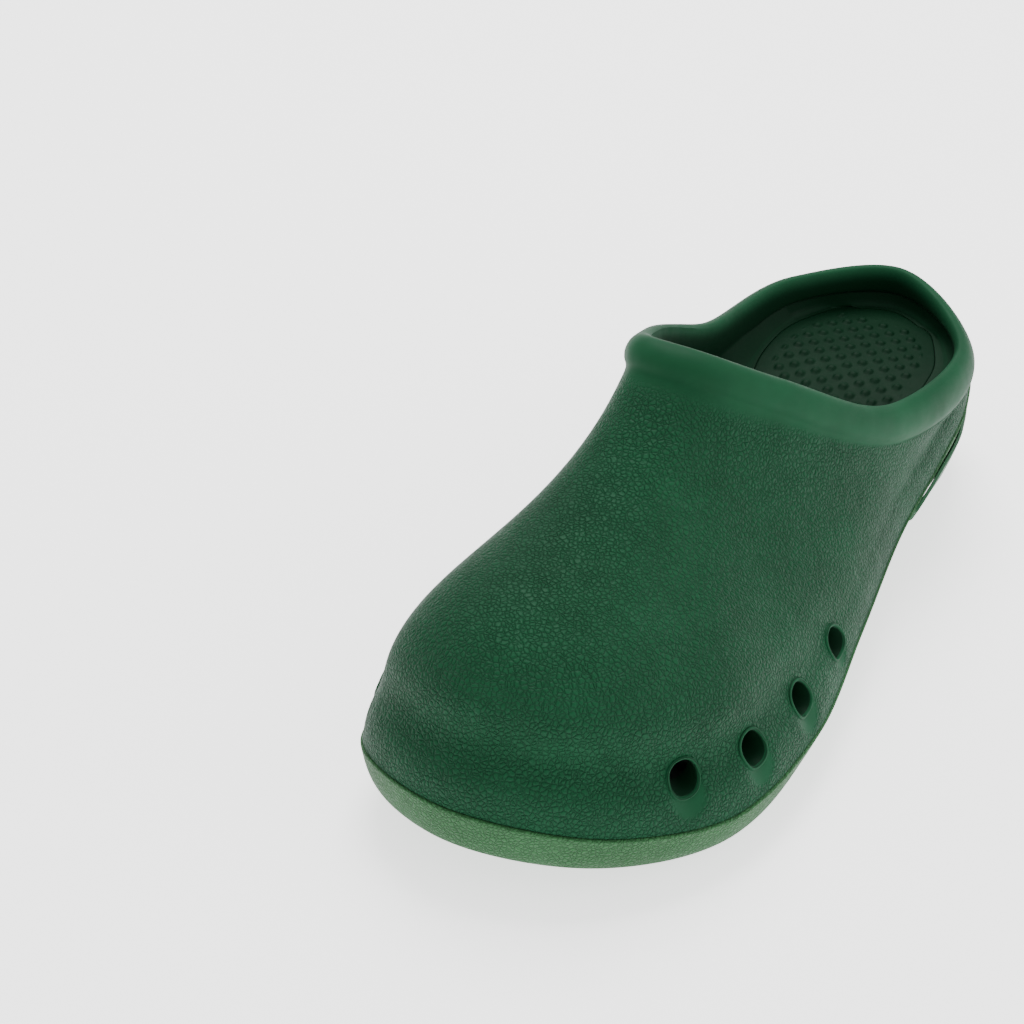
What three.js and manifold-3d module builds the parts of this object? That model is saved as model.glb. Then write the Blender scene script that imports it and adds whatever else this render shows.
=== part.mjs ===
// Rubber garden clog, left foot: a closed-toe mule in dark green moulded foam rubber.
// Millimetres, +Z up, toe towards -Y, heel towards +Y, outer (lateral) side towards +X.
import * as THREE from 'three';
import { mergeVertices } from 'three/addons/utils/BufferGeometryUtils.js';
import Module from 'manifold-3d';

const wasm = await Module();
wasm.setup();

// ---------- driving dimensions ----------

const GAP = 0.3;            // clearance between neighbouring pieces
const WALL = 3.8;           // wall thickness of the upper
const STEPS_PER_STATION = 4;

// Plan of the parting line between upper and sole: [y, lateral x, medial x],
// from the heel to the toe, with one tip point at each end.
const HEEL_TIP = [-1, 141];
const TOE_TIP = [-14, -141];
const PLAN = [
  [130, 23, -25],
  [105, 34, -35],
  [75, 38, -37],
  [35, 41, -31],
  [-10, 48, -40],
  [-55, 54, -50],
  [-95, 49, -54],
  [-128, 24, -46],
];

// Height of the parting line along the shoe, [y, z].
const PARTING = [[-141, 27], [-120, 21], [-90, 16], [-50, 16], [0, 22], [50, 28], [100, 33], [141, 37]];

// Height of the sole's underside along the shoe, [y, z]: toe spring, ball, waist, heel.
const UNDERSIDE = [
  [-141, 11], [-128, 8.5], [-95, 3.5], [-60, 2], [-20, 2], [15, 4], [50, 2], [120, 2], [141, 4],
];

// Centre of the rounded collar band, one point for every second plan station:
// heel, lateral side, throat, medial side.
const COLLAR = [
  [-2, 126.5, 57],
  [31, 101, 52], [31, 41, 61], [11, 0, 86], [-7, -17, 98],
  [-22, -17, 98], [-31, 1, 88], [-33, 42, 67], [-30, 102, 57],
];
const BAND_HALF_WIDTH = 7.5;
// Share of that width along the collar, [place from the heel by the lateral side and back, share].
// The band is narrowed from its upper edge, across the throat and the front of the lateral side.
const BAND_NARROWING = [[0, 1], [0.14, 1], [0.27, 0.75], [0.6, 0.75], [0.75, 1], [1, 1]];
const BAND_THICKNESS = [4.5, 2.6];   // in front of its middle, and behind it
const BAND_PROUD = 2.4;             // how far the band stands out from the upper
const BAND_TILT = [8, 46];          // lean from upright at the sides and at the throat, degrees

// Flange that runs out from the upper to the parting line: [y, lateral inset, medial inset, rise].
const FLANGE = [
  [-141, 5, 5, 16], [-95, 5, 3.5, 15], [-53, 6, 7, 15], [-8, 4, 8, 13],
  [35, 3, 6, 10], [75, 3, 4, 8], [141, 3, 3, 7],
];
const FLANGE_BULGE = [0.25, 0.6];   // how far in, and how high, its side is fullest

// How steeply the skin leaves the flange, as a share of its length: full at the toe, slim at the instep.
const FULLNESS = [[-141, 0.4], [-95, 0.37], [-53, 0.24], [-8, 0.2], [35, 0.3], [90, 0.42]];
const SKIN_LEAN = 0.06;             // how far it leans inwards there, as a share of its length
const SKIN_RUN = [[-141, 0.5], [30, 0.45], [80, 0.2], [141, 0.12]];   // straight run into the band
const BAND_OVERLAP = 0.9;           // where it meets the band, as a share of the band's half width

// Height of the footbed along the shoe, [y, z]: toe spring, ball, arch, level heel seat.
const FLOOR = [
  [-141, 32], [-120, 26], [-90, 21.5], [-50, 21.5], [-10, 27], [35, 40], [65, 48], [90, 50], [141, 50],
];

// Insole: [y, lateral inset, medial inset]. The ledge of the upper runs round it at the same
// height, and the sole's platform lies below it.
const INSOLE_INSET = [
  [-141, 15, 15], [-53, 12.5, 12.5], [0, 13, 13.5], [35, 14, 11],
  [90, 11, 9.5], [118, 14.5, 13.5], [131, 18.5, 17.5], [141, 19, 19],
];
const INSOLE_THICKNESS = [[-141, 4], [-50, 4.5], [35, 6], [141, 6]];
const INSOLE_CHAMFER = 0.8;
const INSOLE_GAP = 0.6;
const FILLET = 4;                   // radius where the inner wall meets the ledge
const FILLET_TURN = 0.3;            // its middle point, as a share of the radius
const LEDGE_FALL = 0.5;             // the ledge falls this much towards the insole

// How much further the sole's bottom edge is drawn in than its side: [y, inset].
const TUCK = [[-141, 0], [-80, 1], [-30, 5], [20, 9], [60, 8], [100, 5], [141, 2]];

const PAD_DEPTH = 1.7;              // tread pads under the sole
const TREAD_FOREFOOT = [-108, -8];  // y of the front and rear end
const TREAD_HEEL = [58, 131];
const TREAD_INSET = [12, 14];       // forefoot and heel pad, from the outline
const TREAD_GROOVE = [3, 1.1];      // width and depth
const TREAD_PITCH = 13;

// Vents through the flange, bored level and square to the outline.
const VENT_RADIUS = 4.3;
const LATERAL_VENTS = [-106, -81, -54, -27];
const MEDIAL_VENTS = [-114, -89, -64, -38, -13, 8, 28];
const VENT_RISE = [[-114, 13.5], [-38, 11], [28, 7.8]];
const VENT_REACH = [-6, 20];        // bore from outside the outline to inside it
const BLIND_REACH = [-6, 9];        // the vents beside the raised footbed are blind
const BLIND_FROM = 0;               // y from which they are

// Raised grip panels on both sides of the heel, from a front tip to the back.
const PANEL_SPAN = [60, 129];       // y of the two ends
const PANEL_HALF_HEIGHT = 7.2;
const PANEL_THICKNESS = 1.3;
const PANEL_MIDDLE = 0.5;           // share of the sole's side height
const PANEL_END = 0.12;             // bluntness of the two ends
const PANEL_BACK = 0.1;             // extra clearance behind the panel

// ---------- curves ----------

const stations = [
  HEEL_TIP,
  ...PLAN.map(([y, lateral]) => [lateral, y]),
  TOE_TIP,
  ...PLAN.map(([y, , medial]) => [medial, y]).reverse(),
];
const AROUND = stations.length * STEPS_PER_STATION;

const planCurve = new THREE.CatmullRomCurve3(
  stations.map(([x, y]) => new THREE.Vector3(x, y, 0)), true, 'centripetal');
const collarCurve = new THREE.CatmullRomCurve3(
  COLLAR.map(([x, y, z]) => new THREE.Vector3(x, y, z)), true, 'centripetal');

// Smooth curve through [position, value] pairs that are sorted by position, level where they are level.
function along(table, position) {
  const rows = table[0][0] < table[1][0] ? table : [...table].reverse();
  const last = rows.length - 1;
  const rate = (i) => (rows[i + 1][1] - rows[i][1]) / (rows[i + 1][0] - rows[i][0]);
  const slope = (i) => {
    if (i === 0) return rate(0);
    if (i === last) return rate(last - 1);
    const [before, after] = [rate(i - 1), rate(i)];
    return before * after > 0 ? (2 * before * after) / (before + after) : 0;
  };
  const p = Math.min(Math.max(position, rows[0][0]), rows[last][0]);
  let k = 0;
  while (k < last - 1 && p > rows[k + 1][0]) k += 1;
  const span = rows[k + 1][0] - rows[k][0];
  const u = (p - rows[k][0]) / span;
  const a = 2 * u ** 3 - 3 * u ** 2 + 1;
  const b = u ** 3 - 2 * u ** 2 + u;
  const c = u ** 3 - u ** 2;
  return a * rows[k][1] + b * span * slope(k) + (1 - a) * rows[k + 1][1] + c * span * slope(k + 1);
}

const partingHeight = (y) => along(PARTING, y);
const undersideHeight = (y) => along(UNDERSIDE, y);
const floorHeight = (y) => along(FLOOR, y);
const insoleBottom = (y) => floorHeight(y) - along(INSOLE_THICKNESS, y);
const UP = new THREE.Vector3(0, 0, 1);

// A point of the outline moved inwards in plan, at height zero.
function insetPoint(t, inset) {
  const point = planCurve.getPoint(t);
  const tangent = planCurve.getTangent(t);
  const inward = new THREE.Vector3(tangent.y, -tangent.x, 0).normalize();
  return point.addScaledVector(inward, inset);
}

// Value at t of a table with one column for the lateral and one for the medial side.
function bothSides(table, t) {
  const column = t < 0.5 ? 1 : 2;
  return along(table.map((row) => [row[0], row[column]]), planCurve.getPoint(t).y);
}

const insoleInset = (t) => bothSides(INSOLE_INSET, t);

// Closed ring round the shoe; its inset is a function of t and y, its height of y.
function planRing(insetAt, heightAt) {
  return Array.from({ length: AROUND }, (_, i) => {
    const t = i / AROUND;
    const { y } = planCurve.getPoint(t);
    const point = insetPoint(t, insetAt(t, y));
    point.z = heightAt(point.y);
    return point;
  });
}

// ---------- closed meshes ----------

function closedGeometry(positions, triangles) {
  let volume = 0;
  const corner = [new THREE.Vector3(), new THREE.Vector3(), new THREE.Vector3()];
  for (const triangle of triangles) {
    triangle.forEach((index, k) => corner[k].copy(positions[index]));
    volume += corner[0].dot(corner[1].cross(corner[2]));
  }
  const index = volume < 0 ? triangles.map(([a, b, c]) => [a, c, b]) : triangles;
  const geometry = new THREE.BufferGeometry();
  const numbers = positions.flatMap((p) => p.toArray());
  geometry.setAttribute('position', new THREE.Float32BufferAttribute(numbers, 3));
  geometry.setIndex(index.flat());
  return geometry;
}

function sideTriangles(ringCount, ringSize, joinEnds) {
  const triangles = [];
  const lastRing = joinEnds ? ringCount : ringCount - 1;
  for (let r = 0; r < lastRing; r += 1) {
    for (let i = 0; i < ringSize; i += 1) {
      const a = r * ringSize + i;
      const b = r * ringSize + ((i + 1) % ringSize);
      const c = ((r + 1) % ringCount) * ringSize + i;
      const d = ((r + 1) % ringCount) * ringSize + ((i + 1) % ringSize);
      triangles.push([a, b, d], [a, d, c]);
    }
  }
  return triangles;
}

// Rings stacked from bottom to top; both end rings are closed by strips that run
// straight across from the lateral to the medial side.
function stackedSolid(rings) {
  const size = rings[0].length;
  const triangles = sideTriangles(rings.length, size, false);
  const strip = (offset, flip) => {
    const add = (a, b, c) => triangles.push(flip ? [offset + a, offset + c, offset + b]
      : [offset + a, offset + b, offset + c]);
    add(0, 1, size - 1);
    for (let i = 1; i < size / 2 - 1; i += 1) {
      add(i, i + 1, size - i);
      add(i + 1, size - i - 1, size - i);
    }
    add(size / 2 - 1, size / 2, size / 2 + 1);
  };
  strip(0, true);
  strip((rings.length - 1) * size, false);
  return closedGeometry(rings.flat(), triangles);
}

// One closed loop per step around the shoe.
function loopedSolid(loops) {
  return closedGeometry(loops.flat(), sideTriangles(loops.length, loops[0].length, true));
}

function toManifold(geometry) {
  const plain = geometry.clone();
  plain.deleteAttribute('normal');
  plain.deleteAttribute('uv');
  const merged = mergeVertices(plain, 1e-4);
  return new wasm.Manifold(new wasm.Mesh({
    numProp: 3,
    vertProperties: new Float32Array(merged.getAttribute('position').array),
    triVerts: new Uint32Array(merged.getIndex().array),
  }));
}

function fromManifold(solid) {
  const mesh = solid.getMesh();
  const geometry = new THREE.BufferGeometry();
  geometry.setAttribute('position', new THREE.Float32BufferAttribute(mesh.vertProperties, 3));
  geometry.setIndex(Array.from(mesh.triVerts));
  return geometry;
}

// ---------- upper ----------

// Directions of the collar band's section at t: outward face and rising edge.
function collarFrame(t) {
  const centre = collarCurve.getPoint(t);
  const tangent = collarCurve.getTangent(t);
  const outward = new THREE.Vector3(-tangent.y, tangent.x, 0).normalize();
  const upright = new THREE.Vector3().crossVectors(outward, tangent).normalize();
  if (upright.z < 0) upright.negate();
  const facingToe = Math.max(0, -outward.y);
  const tilt = THREE.MathUtils.degToRad(THREE.MathUtils.lerp(...BAND_TILT, facingToe ** 1.5));
  const face = outward.clone().multiplyScalar(Math.cos(tilt)).addScaledVector(upright, Math.sin(tilt));
  const rising = upright.clone().multiplyScalar(Math.cos(tilt)).addScaledVector(outward, -Math.sin(tilt));
  const halfWidth = BAND_HALF_WIDTH * along(BAND_NARROWING, t);
  centre.addScaledVector(rising, halfWidth - BAND_HALF_WIDTH);
  return { centre, face, rising, halfWidth };
}

function bandPoint(frame, degrees) {
  const angle = THREE.MathUtils.degToRad(degrees);
  return frame.centre.clone()
    .addScaledVector(frame.face, BAND_THICKNESS[Math.cos(angle) < 0 ? 1 : 0] * Math.cos(angle))
    .addScaledVector(frame.rising, frame.halfWidth * Math.sin(angle));
}

function flangeSize(t) {
  const { y } = planCurve.getPoint(t);
  return {
    inset: bothSides(FLANGE, t),
    rise: along(FLANGE.map((row) => [row[0], row[3]]), y),
  };
}

// Outer skin from the top of the flange to the underside of the band.
function skinCurve(t) {
  const flange = flangeSize(t);
  const foot = insetPoint(t, flange.inset);
  foot.z = partingHeight(foot.y) + flange.rise;
  const frame = collarFrame(t);
  const end = frame.centre.clone()
    .addScaledVector(frame.face, BAND_THICKNESS[0] - BAND_PROUD)
    .addScaledVector(frame.rising, -frame.halfWidth * BAND_OVERLAP);
  const length = foot.distanceTo(end);
  const inward = insetPoint(t, 1).sub(planCurve.getPoint(t)).normalize();
  const fullness = along(FULLNESS, foot.y);
  const rise = foot.clone()
    .addScaledVector(UP, length * fullness)
    .addScaledVector(inward, length * SKIN_LEAN);
  const run = end.clone().addScaledVector(frame.rising, -length * along(SKIN_RUN, foot.y));
  return new THREE.CubicBezierCurve3(foot, rise, run, end);
}

const SKIN_STEPS = 9;
const FLANGE_STEPS = 3;
const BAND_ANGLES = [-65, -30, 0, 30, 60, 90, 120, 150, 180, 215];
const BAND_INNER = 3;               // how many of these angles are on the inner side
const INNER_SHARES = [0.88, 0.66, 0.44, 0.22, 0];   // up the inner wall, from the band down

function skinNormal(t, s) {
  const step = 0.004;
  const here = skinCurve(t);
  const alongSkin = here.getTangent(THREE.MathUtils.clamp(s, 0.01, 0.99));
  const ahead = skinCurve((t + step) % 1).getPoint(s);
  const behind = skinCurve((t - step + 1) % 1).getPoint(s);
  return new THREE.Vector3().crossVectors(alongSkin, ahead.sub(behind)).normalize();
}

// Share of the skin's length at which it reaches height z, or 0 if it starts above it.
function shareAtHeight(skin, z) {
  let [low, high] = [0, 1];
  if (skin.getPoint(0).z >= z) return 0;
  for (let i = 0; i < 20; i += 1) {
    const middle = (low + high) / 2;
    if (skin.getPoint(middle).z < z) low = middle;
    else high = middle;
  }
  return low;
}

function upperLoop(t) {
  const edge = insetPoint(t, 0);
  edge.z = partingHeight(edge.y) + GAP;
  const skin = skinCurve(t);
  const { inset, rise } = flangeSize(t);
  const bulge = edge.clone().lerp(skin.getPoint(0), FLANGE_BULGE[0]);
  bulge.z = edge.z + rise * FLANGE_BULGE[1];
  const flange = new THREE.QuadraticBezierCurve3(edge, bulge, skin.getPoint(0));
  const points = [];
  for (let k = 0; k < FLANGE_STEPS; k += 1) points.push(flange.getPoint(k / FLANGE_STEPS));
  for (let k = 0; k <= SKIN_STEPS; k += 1) points.push(skin.getPoint(k / SKIN_STEPS));
  const frame = collarFrame(t);
  for (const degrees of BAND_ANGLES) points.push(bandPoint(frame, degrees));

  const ledgeInset = insoleInset(t) - INSOLE_GAP;
  const ledge = insetPoint(t, ledgeInset);
  ledge.z = floorHeight(ledge.y);
  const wallFoot = inset + WALL;
  const turn = FILLET_TURN * Math.min(FILLET, ledgeInset - wallFoot);
  const top = ledge.z + FILLET;
  points.slice(-BAND_INNER).forEach((point, k) => {
    point.z = Math.max(point.z, top + BAND_INNER - k);
  });
  const band = points[points.length - 1];
  // Where the footbed is as high as the band, the inner wall drops straight from the band to it.
  const besideBand = skin.getPoint(1).z < ledge.z + 1;
  const foot = besideBand ? band.clone().lerp(ledge, FILLET_TURN) : insetPoint(t, wallFoot + turn);
  foot.z = floorHeight(foot.y) + turn + LEDGE_FALL;
  const lowest = shareAtHeight(skin, top);
  INNER_SHARES.forEach((share, k) => {
    const s = THREE.MathUtils.lerp(lowest, 1, share);
    const inner = skin.getPoint(s).addScaledVector(skinNormal(t, s), -WALL);
    const filled = band.clone().lerp(foot, (k + 1) / (INNER_SHARES.length + 1));
    points.push(inner.z < foot.z + 1 || lowest > 1 - FILLET_TURN ? filled : inner);
  });
  const under = ledge.clone();
  under.z = partingHeight(ledge.y) + GAP;
  points.push(foot, ledge, under);
  return points;
}

function planParameter(y, lateral) {
  let [low, high] = lateral ? [0, 0.5] : [1, 0.5];
  for (let i = 0; i < 40; i += 1) {
    const middle = (low + high) / 2;
    if (planCurve.getPoint(middle).y > y) low = middle;
    else high = middle;
  }
  return (low + high) / 2;
}

function ventBore(y, lateral) {
  const t = planParameter(y, lateral);
  const [outside, inside] = y > BLIND_FROM ? BLIND_REACH : VENT_REACH;
  const start = insetPoint(t, outside);
  const end = insetPoint(t, inside);
  const centre = start.clone().lerp(end, 0.5);
  const direction = end.clone().sub(start).normalize();
  const bore = new THREE.CylinderGeometry(VENT_RADIUS, VENT_RADIUS, start.distanceTo(end), 20);
  const turn = new THREE.Quaternion().setFromUnitVectors(new THREE.Vector3(0, 1, 0), direction);
  bore.applyQuaternion(turn);
  bore.translate(centre.x, centre.y, partingHeight(y) + along(VENT_RISE, y));
  return toManifold(bore);
}

function upperGeometry() {
  const loops = Array.from({ length: AROUND }, (_, i) => upperLoop(i / AROUND));
  let solid = toManifold(loopedSolid(loops));
  for (const y of LATERAL_VENTS) solid = solid.subtract(ventBore(y, true));
  for (const y of MEDIAL_VENTS) solid = solid.subtract(ventBore(y, false));
  return fromManifold(solid);
}

// ---------- sole ----------

// Inset of the sole's side at a share of its height, from the ground to the parting line.
const SOLE_SIDE = [[0, 9], [0.04, 5], [0.16, 2], [0.55, 0.2], [0.92, -0.6]];
const SOLE_LIP = 0.6;               // how far the parting edge stands out

function soleInset(share, y) {
  return along(SOLE_SIDE, share) + along(TUCK, y) * (1 - share);
}

function soleRing(share) {
  return planRing((t, y) => soleInset(share, y),
    (y) => THREE.MathUtils.lerp(undersideHeight(y), partingHeight(y), share));
}

function soleGeometry() {
  const sides = [0, 0.04, 0.16, 0.34, 0.55, 0.92].map(soleRing);
  const lip = planRing(() => -SOLE_LIP, (y) => partingHeight(y) - SOLE_LIP);
  const top = planRing(() => 0, partingHeight);
  const platform = planRing(insoleInset, (y) => insoleBottom(y) - GAP);
  return stackedSolid([...sides, lip, top, planRing(insoleInset, partingHeight), platform]);
}

// A panel follows the sole's side; its outline is a long rounded leaf.
function panelGeometry(lateral) {
  const columns = 24;
  const rows = 4;
  const start = planParameter(PANEL_SPAN[0], lateral);
  const end = planParameter(PANEL_SPAN[1], lateral);
  const point = (column, row, standOff) => {
    const c = column / columns;
    const t = THREE.MathUtils.lerp(start, end, c);
    const y = planCurve.getPoint(t).y;
    const half = PANEL_HALF_HEIGHT * Math.max(PANEL_END, 1 - Math.abs(2 * c - 1) ** 4) ** 0.5;
    const [base, top] = [undersideHeight(y), partingHeight(y)];
    const z = THREE.MathUtils.lerp(base, top, PANEL_MIDDLE) + half * ((2 * row) / rows - 1);
    const position = insetPoint(t, soleInset((z - base) / (top - base), y) - standOff);
    position.z = z;
    return position;
  };
  const loops = Array.from({ length: columns + 1 }, (_, column) => {
    const across = Array.from({ length: rows + 1 }, (__, row) => row);
    const outer = across.map((row) => point(column, row, GAP + PANEL_THICKNESS));
    const inner = across.map((row) => point(column, rows - row, GAP + PANEL_BACK));
    return [...outer, ...inner];
  });
  const size = loops[0].length;
  const triangles = sideTriangles(loops.length, size, false);
  for (const [offset, flip] of [[0, true], [columns * size, false]]) {
    for (let row = 0; row < rows; row += 1) {
      const [a, b, c, d] = [row, row + 1, size - 2 - row, size - 1 - row].map((k) => offset + k);
      triangles.push(...(flip ? [[a, c, b], [a, d, c]] : [[a, b, c], [a, c, d]]));
    }
  }
  return closedGeometry(loops.flat(), triangles);
}

// ---------- tread ----------

const WIDER_THAN_SHOE = 140;

// A grooved pad glued under the sole between two y positions.
function treadPad([front, rear], inset) {
  const count = 20;
  const ring = (above) => {
    const side = (lateral) => Array.from({ length: count - 1 }, (_, i) => {
      const c = (1 - Math.cos((Math.PI * (i + 1)) / count)) / 2;
      const y = THREE.MathUtils.lerp(rear, front, c);
      const left = planCurve.getPoint(planParameter(y, false)).x;
      const right = planCurve.getPoint(planParameter(y, true)).x;
      const half = ((right - left) / 2 - inset) * (1 - Math.abs(2 * c - 1) ** 3) ** (1 / 3);
      const x = (left + right) / 2 + (lateral ? half : -half);
      return new THREE.Vector3(x, y, undersideHeight(y) - GAP + above);
    });
    const tip = (y) => {
      const left = planCurve.getPoint(planParameter(y, false)).x;
      const right = planCurve.getPoint(planParameter(y, true)).x;
      return new THREE.Vector3((left + right) / 2, y, undersideHeight(y) - GAP + above);
    };
    return [tip(rear), ...side(true), tip(front), ...side(false).reverse()];
  };
  let solid = toManifold(stackedSolid([ring(-PAD_DEPTH), ring(0)]));
  for (let y = rear - TREAD_PITCH; y > front + TREAD_PITCH / 2; y -= TREAD_PITCH) {
    const groove = new THREE.BoxGeometry(WIDER_THAN_SHOE, TREAD_GROOVE[0], 2 * TREAD_GROOVE[1]);
    groove.translate(0, y, undersideHeight(y) - GAP - PAD_DEPTH);
    solid = solid.subtract(toManifold(groove));
  }
  return fromManifold(solid);
}

// ---------- insole ----------

function insoleGeometry() {
  const inset = (extra) => (t) => insoleInset(t) + extra;
  return stackedSolid([
    planRing(inset(0), insoleBottom),
    planRing(inset(0), (y) => floorHeight(y) - INSOLE_CHAMFER),
    planRing(inset(INSOLE_CHAMFER), floorHeight),
  ]);
}

// ---------- assembly ----------

function piece(name, geometry, colour, roughness) {
  const material = new THREE.MeshStandardMaterial({ color: colour, roughness, metalness: 0 });
  const mesh = new THREE.Mesh(geometry, material);
  mesh.name = name;
  return mesh;
}

const group = new THREE.Group();
group.add(
  piece('upper', upperGeometry(), 0x2a5640, 0.6),
  piece('sole', soleGeometry(), 0x34634a, 0.65),
  piece('insole', insoleGeometry(), 0x1f4a34, 0.7),
  piece('heel_panel_lateral', panelGeometry(true), 0x2d5f45, 0.5),
  piece('heel_panel_medial', panelGeometry(false), 0x2d5f45, 0.5),
  piece('tread_forefoot', treadPad(TREAD_FOREFOOT, TREAD_INSET[0]), 0x2b4f3a, 0.8),
  piece('tread_heel', treadPad(TREAD_HEEL, TREAD_INSET[1]), 0x2b4f3a, 0.8),
);

export default group;
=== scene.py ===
import math

import bmesh
import bpy
import numpy as np
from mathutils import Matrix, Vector
from mathutils.bvhtree import BVHTree


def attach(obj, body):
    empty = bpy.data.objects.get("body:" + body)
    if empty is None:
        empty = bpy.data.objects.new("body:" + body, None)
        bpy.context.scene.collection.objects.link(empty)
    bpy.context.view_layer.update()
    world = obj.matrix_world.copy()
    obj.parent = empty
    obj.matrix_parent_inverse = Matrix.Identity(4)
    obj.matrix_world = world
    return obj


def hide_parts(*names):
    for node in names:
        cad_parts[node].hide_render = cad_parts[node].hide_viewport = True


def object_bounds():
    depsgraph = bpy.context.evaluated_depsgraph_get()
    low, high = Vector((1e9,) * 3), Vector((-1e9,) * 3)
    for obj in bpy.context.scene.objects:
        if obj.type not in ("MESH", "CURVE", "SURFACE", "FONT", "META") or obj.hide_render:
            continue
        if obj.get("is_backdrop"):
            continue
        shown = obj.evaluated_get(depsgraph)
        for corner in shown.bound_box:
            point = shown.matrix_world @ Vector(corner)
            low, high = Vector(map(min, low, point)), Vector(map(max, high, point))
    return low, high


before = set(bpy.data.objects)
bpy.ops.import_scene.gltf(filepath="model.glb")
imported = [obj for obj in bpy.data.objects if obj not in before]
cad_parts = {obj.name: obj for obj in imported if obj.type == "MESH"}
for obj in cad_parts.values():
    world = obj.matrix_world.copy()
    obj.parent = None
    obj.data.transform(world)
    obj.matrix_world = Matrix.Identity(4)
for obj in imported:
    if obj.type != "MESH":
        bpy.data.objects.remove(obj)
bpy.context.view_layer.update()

# Left garden clog. Millimetres in the tables, metres on every mesh.
# +Z up, toe towards -Y, outer (lateral) side towards +X: the frame's own axes.
MM = 0.001

# ---------- driving dimensions, the same as the CAD model's ----------

GAP = 0.3
WALL = 3.8
HEEL_TIP = (-1, 141)
TOE_TIP = (-14, -141)
PLAN = [  # y, lateral x, medial x of the parting line
    (130, 23, -25), (105, 34, -35), (75, 38, -37), (35, 41, -31),
    (-10, 48, -40), (-55, 54, -50), (-95, 49, -54), (-128, 24, -46),
]
PARTING = [(-141, 27), (-120, 21), (-90, 16), (-50, 16), (0, 22), (50, 28), (100, 33), (141, 37)]
UNDERSIDE = [
    (-141, 11), (-128, 8.5), (-95, 3.5), (-60, 2), (-20, 2), (15, 4), (50, 2), (120, 2), (141, 4),
]
COLLAR = [  # centre of the rounded band
    (-2, 126.5, 57), (31, 101, 52), (31, 41, 61), (11, 0, 86), (-7, -17, 98),
    (-22, -17, 98), (-31, 1, 88), (-33, 42, 67), (-30, 102, 57),
]
BAND_HALF_WIDTH = 7.5
BAND_NARROWING = [(0, 1), (0.14, 1), (0.27, 0.75), (0.6, 0.75), (0.75, 1), (1, 1)]
BAND_THICKNESS = (4.5, 2.6)   # in front of its middle, and behind it
BAND_PROUD = 2.4
BAND_TILT = (8, 46)
FLANGE = [  # y, lateral inset, medial inset, rise
    (-141, 5, 5, 16), (-95, 5, 3.5, 15), (-53, 6, 7, 15), (-8, 4, 8, 13),
    (35, 3, 6, 10), (75, 3, 4, 8), (141, 3, 3, 7),
]
FLANGE_BULGE = (0.25, 0.6)
FULLNESS = [(-141, 0.4), (-95, 0.37), (-53, 0.24), (-8, 0.2), (35, 0.3), (90, 0.42)]
SKIN_LEAN = 0.06
SKIN_RUN = [(-141, 0.5), (30, 0.45), (80, 0.2), (141, 0.12)]
BAND_OVERLAP = 0.9
FLOOR = [
    (-141, 32), (-120, 26), (-90, 21.5), (-50, 21.5), (-10, 27), (35, 40), (65, 48), (90, 50),
    (141, 50),
]
INSOLE_INSET = [  # y, lateral inset, medial inset
    (-141, 15, 15), (-53, 12.5, 12.5), (0, 13, 13.5), (35, 14, 11),
    (90, 11, 9.5), (118, 14.5, 13.5), (131, 18.5, 17.5), (141, 19, 19),
]
INSOLE_THICKNESS = [(-141, 4), (-50, 4.5), (35, 6), (141, 6)]
# The seam round the insole, [y, gap]: a fine line at the heel, and room to turn at the hidden toe.
SEAM_GAP = [(-141, 0.7), (-95, 0.7), (-40, 0.15), (141, 0.15)]
FILLET = 4
FILLET_TURN = 0.3
LEDGE_FALL = 0.5
TUCK = [(-141, 0), (-80, 1), (-30, 5), (20, 9), (60, 8), (100, 5), (141, 2)]
VENT_RADIUS = 4.3
LATERAL_VENTS = (-106, -81, -54, -27)
MEDIAL_VENTS = (-114, -89, -64, -38, -13, 8, 28)
VENT_RISE = [(-114, 13.5), (-38, 11), (28, 7.8)]
VENT_REACH = (-6, 20)
BLIND_REACH = (-6, 9)
BLIND_FROM = 0
SOLE_SIDE = [(0, 9), (0.04, 5), (0.16, 2), (0.55, 0.2), (0.92, -0.6)]
SOLE_LIP = 0.6
PANEL_SPAN = (60, 129)
PANEL_HALF_HEIGHT = 7.2
PANEL_THICKNESS = 1.3
PANEL_MIDDLE = 0.5
PANEL_END = 0.12

# ---------- detail that only the visual model has ----------

AROUND = 840          # steps round the shoe
SKIN_ROWS = 84        # rows from the flange to the band
FLANGE_ROWS = 26
BAND_ROWS = 44
INNER_ROWS = 26
SCOOP_DEPTH = 1.5     # smooth thumb-shaped hollow round each vent
SCOOP_REACH = 7.4
SCOOP_DROP = 3.8      # the hollow's middle lies this far below the vent
SCOOP_TALL = 1.15     # its height compared with its width
SCOOP_RUN = 22        # how far along the bore the skin may lie
SMALL_SCOOP = (-45, 0.8)   # y from which the scoops are smaller, and their share
RIM = (0.6, 0.5, 0.6)   # thin raised lip of a vent: middle outside the bore, half width, height
RIM_STEPS = 72
RIM_SIDES = 12
RIM_PASSES = 6
VENT_SIDES = 64
SHARP_DEGREES = 42    # edges that turn more than this are shaded sharp
SHOULDER_ROWS = 4     # rows over which the step from skin to band is softened, and how often
SHOULDER_PASSES = 5
SHOULDER_PULL = 0.6
PLAIN_ROWS = 2.5      # the grain fades out over these rows below the band
TURN_PASSES = 24      # rounds the turn between flange and vamp
BACK_PASSES = 14      # smooths the inside
SHORT_PASSES = 150    # spreads the change from a tall to a short inner wall
BAND_ANGLES = (-64, 215)
BAND_INNER = 150      # degrees from which the band is on the inside
BAND_ABOVE_LEDGE = (3, 1)
INSIDE_SHADE_FROM = (120, 40)    # the inside's painted shade starts here, and over how many degrees
FILLET_SHADE = (0.85, 0.9)  # the fillet above the ledge gets a little less painted shade than the inside
VALLEY = [(-141, 2.4), (-95, 2.8), (-60, 1.5), (-20, 0.5), (30, 0.0)]   # hollow above the flange
VALLEY_AT = 2.0       # height of its middle above the flange's top
VALLEY_FADE = (-52, 26)   # it fades out on the medial side: x where it ends, and over how much
VALLEY_WIDTH = 6.5
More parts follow.
